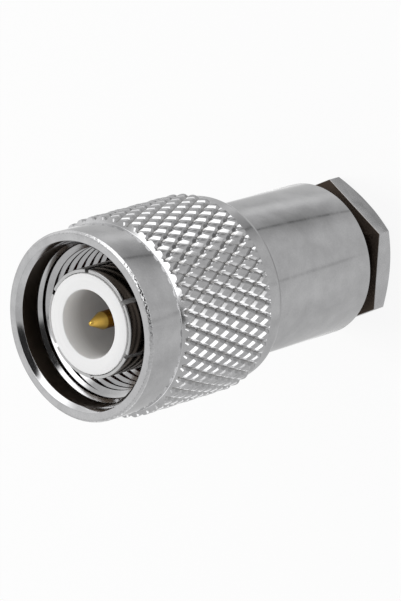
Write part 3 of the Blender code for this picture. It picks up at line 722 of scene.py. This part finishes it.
class PLUG_OT_coupling_nut(bpy.types.Operator):
    """Build the coupling nut: turned, threaded and diamond knurled"""

    bl_idname = "plug.coupling_nut"
    bl_label = "Coupling nut"

    def execute(self, context):
        scene = context.scene
        sizes, threads = scene.plug_nut, scene.plug_threads
        at = nut_places(scene)
        nut = solid("coupling_nut_turned", turned(self.outline(at, sizes)))
        rows = 2 * math.ceil((sizes.knurl_length + sizes.knurl_pitch / 2) / sizes.knurl_pitch)
        base = (at.collar_low + at.knurl_low - rows * sizes.knurl_pitch / 2) / 2
        work(nut, solid("knurling_wheels", knurl_form(sizes, base, at.crest, at.stock + MM, rows)))
        tap = thread_form(threads.mating_diameter / 2, threads.mating_pitch, at.thread_low,
                          (at.lead_low + at.thread_top) / 2, SMALL_STEPS)
        work(nut, solid("mating_tap", tap))
        dress(nut, self.plating(at, sizes, scene.plug_finishes), "nut", "nickel_plate", "coupling_nut")
        return {"FINISHED"}

    def outline(self, at, sizes):
        ring_low, ring_high = bottom_of("retaining_ring"), top_of("retaining_ring")
        neck_top = top_of("plug_body")
        outside = [
            (at.collar - sizes.collar_edge, at.top), (at.collar, at.top - sizes.collar_edge),
            (at.collar, at.collar_low), (at.collar - sizes.collar_undercut, at.collar_low - at.edge),
            (at.collar, at.collar_low - 2 * at.edge), (at.stock, at.knurl_high), (at.stock, at.knurl_foot),
            (at.land, at.knurl_low), (at.land, at.bottom)]
        inside = [
            (at.rear_bore, at.bottom), (at.rear_bore, ring_low), (at.groove, ring_low),
            (at.groove, ring_high), (at.rear_bore, ring_high), (at.rear_bore, neck_top),
            (at.relief, neck_top + at.relief - at.rear_bore), (at.relief, at.thread_low),
            (at.minor, at.thread_low + at.relief - at.minor), (at.minor, at.thread_top),
            (at.lead, at.lead_low), (at.lead, at.lead_top), (at.mouth, at.mouth_low),
            (at.mouth, at.mouth_high), (at.mouth + sizes.mouth_chamfer_width, at.top)]
        return with_broken_edges(outside + inside, at.edge, own={(at.land, at.bottom): sizes.land_edge})

    def plating(self, at, sizes, finish):
        # Painted shade on the counterbore's wall and on the short wall in front of the thread, where the
        # mouth lies in shadow.
        wall = {"inner": at.mouth - at.edge, "outer": at.mouth + at.edge, "low": at.mouth_low,
                "high": at.mouth_high}
        lead = {"inner": at.lead - at.edge / 2, "outer": at.lead + at.edge / 2, "low": at.lead_low,
                "high": at.lead_top}
        # Painted shade at the bottom of the knurl's grooves, below that share of their depth.
        grooves = {"inner": at.collar, "outer": at.crest - sizes.groove_shade_start * sizes.knurl_depth,
                   "low": at.knurl_foot, "high": at.knurl_high}
        knocked = 1.5 * sizes.collar_edge
        rim = {"inner": at.collar - knocked, "outer": at.collar + at.edge, "low": at.top - knocked,
               "high": at.top + at.edge, "fade": at.edge}
        recesses = ((finish.mouth_painted_shade, finish.mouth_roughness, wall),
                    (finish.mouth_painted_shade, finish.lead_roughness, lead),
                    (finish.groove, finish.groove_roughness, grooves))
        return nickel_plate("nickel_plated_nut", finish.nickel, finish.nickel_roughness, recesses, rim)


class PLUG_OT_body(bpy.types.Operator):
    """Build the plug body with its plain barrel"""

    bl_idname = "plug.body"
    bl_label = "Plug body"

    def execute(self, context):
        sizes = context.scene.plug_body
        top, bottom = top_of("plug_body"), bottom_of("plug_body")
        barrel = radius_of("plug_body")
        neck = sizes.neck_diameter / 2
        cavity = sizes.cavity_diameter / 2
        bore = sizes.front_bore_diameter / 2
        shoulder = bottom + sizes.barrel_length
        step = bottom + sizes.cavity_depth
        ring_low, ring_high = bottom_of("retaining_ring"), top_of("retaining_ring")
        groove = neck - (radius_of("retaining_ring") - neck)
        outline = with_broken_edges([
            (neck, top), (neck, ring_high), (groove, ring_high), (groove, ring_low), (neck, ring_low),
            (neck, shoulder), (barrel, shoulder), (barrel, bottom), (cavity, bottom), (cavity, step),
            (bore, step), (bore, top)], sizes.barrel_edge)
        body = solid("plug_body_turned", turned(outline))
        dress(body, plain_plate(context.scene), "plug", "nickel_plate", "plug_body")
        return {"FINISHED"}


class PLUG_OT_contacts(bpy.types.Operator):
    """Build the slotted spring sleeve and the centre pin"""

    bl_idname = "plug.contacts"
    bl_label = "Contacts"

    def execute(self, context):
        scene = context.scene
        self.sleeve(scene.plug_contacts, scene.plug_body.edge_break, scene.plug_finishes)
        self.pin(scene.plug_contacts, scene.plug_body.edge_break, scene.plug_finishes)
        return {"FINISHED"}

    def sleeve(self, sizes, edge, finish):
        top, bottom = top_of("outer_contact") + sizes.front_rise, bottom_of("outer_contact")
        outer = sizes.sleeve_diameter / 2
        inner = outer - sizes.sleeve_wall
        flange, flange_top = radius_of("outer_contact"), bottom + sizes.flange_height
        outline = with_broken_edges([
            (outer, top), (outer, flange_top), (flange, flange_top), (flange, bottom), (inner, bottom),
            (inner, top)], edge)
        sleeve = solid("spring_sleeve", turned(outline))
        for cut in range(sizes.fingers // 2):
            saw = block(2 * outer + MM, sizes.slot_width, top - sizes.finger_length, top + MM,
                        sizes.slot_turn + cut * math.tau / sizes.fingers)
            work(sleeve, solid("slitting_saw", saw))
        # Painted shade down the sleeve's outer wall, below its lip.
        wall = {"inner": outer - edge / 2, "outer": outer + edge, "low": bottom,
                "high": top - sizes.bright_lip}
        material = nickel_plate("nickel_plated_bronze", finish.contact, finish.nickel_roughness,
                                [(finish.sleeve_wall, finish.sleeve_roughness, wall)])
        dress(sleeve, material, "plug", "contact_nickel", "outer_contact")

    def pin(self, sizes, edge, finish):
        top, bottom = top_of("centre_contact") + sizes.front_rise, bottom_of("centre_contact")
        pin, cup, bore = sizes.pin_diameter / 2, sizes.cup_diameter / 2, sizes.cup_bore / 2
        shoulder = top - sizes.pin_tip
        cup_top, bore_top = bottom + sizes.cup_height, bottom + sizes.cup_depth
        turns = [NOSE_ANGLE * k / NOSE_STEPS for k in range(NOSE_STEPS + 1)]
        nose = [(sizes.pin_nose * math.sin(turn), top - sizes.pin_nose * (1 - math.cos(turn)))
                for turn in turns]
        shank = with_broken_edges([
            (pin, shoulder), (pin, cup_top), (cup, cup_top), (cup, bottom), (bore, bottom), (bore, bore_top),
            (0, bore_top + bore / 2)], edge, own={(pin, shoulder): 0})
        contact = solid("centre_pin", turned(nose + shank, SMALL_STEPS))
        hole = sizes.hole_diameter / 2
        drill = bmesh.new()
        middle = Matrix.Translation((cup, 0, bottom + sizes.hole_height))
        bmesh.ops.create_cone(drill, cap_ends=True, segments=SMALL_STEPS // 2, radius1=hole, radius2=hole,
                              depth=2 * cup, matrix=middle @ Matrix.Rotation(math.tau / 4, 4, "Y"))
        work(contact, solid("solder_hole_drill", drill))
        dress(contact, gold_plate(finish.gold, finish.gold_shank_shade, shoulder), "plug", "gold_plate",
              "centre_contact")


class PLUG_OT_insulators(bpy.types.Operator):
    """Build the front insulator and finish the rear one"""

    bl_idname = "plug.insulators"
    bl_label = "Insulators"

    def execute(self, context):
        sizes = context.scene.plug_contacts
        top, bottom = top_of("front_insulator") + sizes.front_rise, bottom_of("front_insulator")
        outer = sizes.insulator_diameter / 2
        socket = sizes.socket_diameter / 2
        pin_hole = sizes.pin_diameter / 2 + sizes.clearance
        cup_seat = sizes.cup_diameter / 2 + sizes.clearance
        seat_top = bottom + sizes.seat_depth
        floor = top - sizes.socket_depth
        outline = with_broken_edges([
            (outer, top), (outer, bottom), (cup_seat, bottom), (cup_seat, seat_top), (pin_hole, seat_top),
            (pin_hole, floor), (socket, floor), (socket, top)], sizes.insulator_edge)
        insulator = solid("front_insulator_turned", turned(outline))
        material = turned_ptfe(context.scene.plug_finishes.ptfe, top)
        dress(insulator, material, "plug", "ptfe", "front_insulator")
        refinish("rear_insulator", material)
        return {"FINISHED"}


class PLUG_OT_clamp_parts(bpy.types.Operator):
    """Build the clamp nut with its threaded shank, and finish the other clamp parts, gaskets and snap ring"""

    bl_idname = "plug.clamp_parts"
    bl_label = "Clamp parts"

    def execute(self, context):
        scene = context.scene
        self.clamp_nut(scene.plug_clamp, scene.plug_threads, scene.plug_body.edge_break, scene.plug_finishes)
        silicone = moulded_silicone(scene.plug_finishes.silicone)
        for node in ("braid_clamp", "slip_washer"):
            refinish(node, plain_plate(scene))
        for node in ("cable_gasket", "front_gasket"):
            refinish(node, silicone)
        refinish("retaining_ring", spring_bronze(scene.plug_finishes.bronze))
        return {"FINISHED"}

    def clamp_nut(self, sizes, threads, edge, finish):
        top = top_of("clamp_nut")
        shank = threads.clamp_diameter / 2
        bore = sizes.cable_bore / 2
        foot = sizes.hex_height / 2
        stem = with_broken_edges([
            (shank - sizes.shank_edge, top), (shank, top - sizes.shank_edge), (shank, foot), (bore, foot),
            (bore, top)], edge)
        screw = solid("clamp_shank", turned(stem))
        die = thread_form(shank + edge, threads.clamp_pitch, 0.0, top + MM, SMALL_STEPS)
        work(screw, solid("clamp_die", die), "INTERSECT")
        nut = solid("clamp_nut_milled", hexagon(sizes.across_flats, sizes.hex_height, sizes.hex_edge))
        reach = sizes.across_flats / math.sqrt(3) + MM
        face = sizes.across_flats / 2 - edge
        rise = (reach - face) * math.tan(CHAMFER_ANGLE)
        envelope = [(reach, sizes.hex_height + MM), (reach, rise), (face, 0.0),
                    (bore + sizes.cable_chamfer, 0.0), (bore, sizes.cable_chamfer),
                    (bore, sizes.hex_height + MM)]
        work(nut, solid("chamfer_tool", turned(envelope)), "INTERSECT")
        work(nut, screw, "UNION")
        # Painted shade on the hexagon's face and the thread beside it, in the narrow gap under the barrel.
        gap = {"inner": bore, "outer": reach, "low": sizes.hex_height - edge,
               "high": sizes.hex_height + sizes.gap_shade_height, "fade": edge}
        material = nickel_plate("nickel_plated_clamp_nut", finish.nickel, finish.milled_roughness,
                                [(finish.gap, finish.gap_roughness, gap)])
        dress(nut, material, "clamp", "nickel_plate", "clamp_nut")


class PLUG_OT_studio(bpy.types.Operator):
    """Build the pale floor, the light tent, the soft lamp and the camera"""

    bl_idname = "plug.studio"
    bl_label = "Studio"

    def execute(self, context):
        settings = context.scene.plug_studio
        self.floor(settings)
        self.tent(context.scene, settings)
        self.lamp(context.scene, settings)
        self.camera(context.scene, settings)
        context.scene.view_settings.view_transform = "Standard"
        return {"FINISHED"}

    def floor(self, settings):
        """White card with a faint mottle of fibres, mostly plain white to the camera and in a mirror."""
        form = bmesh.new()
        bmesh.ops.create_grid(form, x_segments=1, y_segments=1, size=settings.floor_size / 2)
        floor = solid("studio_floor", form)
        material, tree, shader = new_material("white_card")
        place = add(tree, "ShaderNodeTexCoord").outputs["Object"]
        fibre_width = 0.8 * MM
        fibres = add(tree, "ShaderNodeTexNoise", {"Vector": place, "Scale": 1 / fibre_width,
                                                  "Detail": 3.0}).outputs["Fac"]
        card = toned(tree, settings.floor_colour, fibres, darkest=0.99, lightest=1.0)
        feed(tree, shader, {"Base Color": card, "Roughness": 0.9})
        rays = add(tree, "ShaderNodeLightPath").outputs
        seen = add(tree, "ShaderNodeMath", {0: rays["Is Camera Ray"], 1: rays["Is Glossy Ray"]},
                   operation="MAXIMUM").outputs[0]
        white_part = add(tree, "ShaderNodeMath", {0: seen, 1: settings.floor_white},
                         operation="MULTIPLY").outputs[0]
        white = add(tree, "ShaderNodeEmission", {"Color": WHITE, "Strength": 1.0})
        mixed = add(tree, "ShaderNodeMixShader", {0: white_part, 1: shader.outputs["BSDF"],
                                                  2: white.outputs["Emission"]})
        feed(tree, tree.get_output_node("ALL"), {"Surface": mixed.outputs["Shader"]})
        floor.data.materials.append(material)
        floor.visible_glossy = False

    def tent(self, scene, settings):
        """A light tent, whose lamps and open gaps are soft oval cards that the polished surfaces mirror.
        Other surfaces are lit by its even fill, and the camera sees plain white behind the plug."""
        scene.world = bpy.data.worlds.new("studio")
        scene.world.use_nodes = True
        tree = scene.world.node_tree
        tree.nodes.clear()
        rays = add(tree, "ShaderNodeLightPath").outputs
        direction = add(tree, "ShaderNodeTexCoord").outputs["Generated"]
        mirrored = settings.tent_brightness
        for card in CARDS.values():
            ahead, aside, above = (add(tree, "ShaderNodeVectorMath", {0: direction, 1: axis},
                                       operation="DOT_PRODUCT").outputs["Value"]
                                   for axis in (card.aim, card.side, card.up))
            place = add(tree, "ShaderNodeCombineXYZ", {"X": aside, "Y": above}).outputs[0]
            off = add(tree, "ShaderNodeVectorMath", {0: place}, operation="LENGTH").outputs["Value"]
            oval = add(tree, "ShaderNodeMapRange", {"Value": off, "From Min": 1.0,
                                                    "From Max": 1 - card.softness},
                       interpolation_type="SMOOTHSTEP").outputs["Result"]
            front = add(tree, "ShaderNodeMath", {0: ahead, 1: 0.0}, operation="GREATER_THAN").outputs[0]
            cover = add(tree, "ShaderNodeMath", {0: oval, 1: front}, operation="MULTIPLY").outputs[0]
            mirrored = add(tree, "ShaderNodeMix", {0: cover, 2: mirrored, 3: card.brightness}).outputs[0]
        lit = add(tree, "ShaderNodeMix", {0: rays["Is Glossy Ray"], 2: settings.fill, 3: mirrored}).outputs[0]
        strength = add(tree, "ShaderNodeMix", {0: rays["Is Camera Ray"], 2: lit, 3: 1.0}).outputs[0]
        background = add(tree, "ShaderNodeBackground", {"Color": WHITE, "Strength": strength})
        add(tree, "ShaderNodeOutputWorld", {"Surface": background.outputs["Background"]})

    def lamp(self, scene, settings):
        """A square soft lamp for the surfaces that don't mirror the tent. Its power is worked out from the
        brightness of its face."""
        data = bpy.data.lights.new("key_softbox", "AREA")
        data.shape = "SQUARE"
        data.size = settings.key_size
        data.energy = settings.key_strength * math.pi * settings.key_size ** 2
        source = bpy.data.objects.new("key_softbox", data)
        source.location = KEY_PLACE
        source.rotation_euler = (KEY_AIM - KEY_PLACE).to_track_quat("-Z", "Y").to_euler()
        source.visible_glossy = False
        scene.collection.objects.link(source)

    def camera(self, scene, settings):
        data = bpy.data.cameras.new("photo_camera")
        data.sensor_width = SENSOR_WIDTH
        data.lens = settings.lens
        data.clip_start = CAMERA_START
        camera = bpy.data.objects.new("photo_camera", data)
        camera.location = CAMERA_PLACE
        camera.rotation_euler = [math.radians(angle) for angle in CAMERA_TURN]
        scene.collection.objects.link(camera)
        scene.camera = camera


class PLUG_PT_panel(bpy.types.Panel):
    """The plug's sizes, finishes and building steps"""

    bl_idname = "PLUG_PT_panel"
    bl_label = "TNC cable plug"
    bl_space_type = "VIEW_3D"
    bl_region_type = "UI"
    bl_category = "Plug"

    def draw(self, context):
        layout = self.layout
        for key in SETTINGS:
            box = layout.box()
            group = getattr(context.scene, key)
            for name in group.__annotations__:
                box.prop(group, name)
        for operator in OPERATORS:
            layout.operator(operator.bl_idname)


SETTINGS = {
    "plug_nut": NutSizes,
    "plug_threads": ThreadSizes,
    "plug_body": BodySizes,
    "plug_contacts": ContactSizes,
    "plug_clamp": ClampSizes,
    "plug_finishes": PlugFinishes,
    "plug_studio": StudioSettings,
}
OPERATORS = (PLUG_OT_coupling_nut, PLUG_OT_body, PLUG_OT_contacts, PLUG_OT_insulators, PLUG_OT_clamp_parts,
             PLUG_OT_studio)
CLASSES = (*SETTINGS.values(), *OPERATORS, PLUG_PT_panel)


def register():
    for item in CLASSES:
        bpy.utils.register_class(item)
    for key, group in SETTINGS.items():
        setattr(bpy.types.Scene, key, bpy.props.PointerProperty(type=group))


def unregister():
    for key in SETTINGS:
        delattr(bpy.types.Scene, key)
    for item in reversed(CLASSES):
        bpy.utils.unregister_class(item)


def main():
    register()
    bpy.ops.plug.coupling_nut()
    bpy.ops.plug.body()
    bpy.ops.plug.contacts()
    bpy.ops.plug.insulators()
    bpy.ops.plug.clamp_parts()
    bpy.ops.plug.studio()


if __name__ == "__main__":
    main()
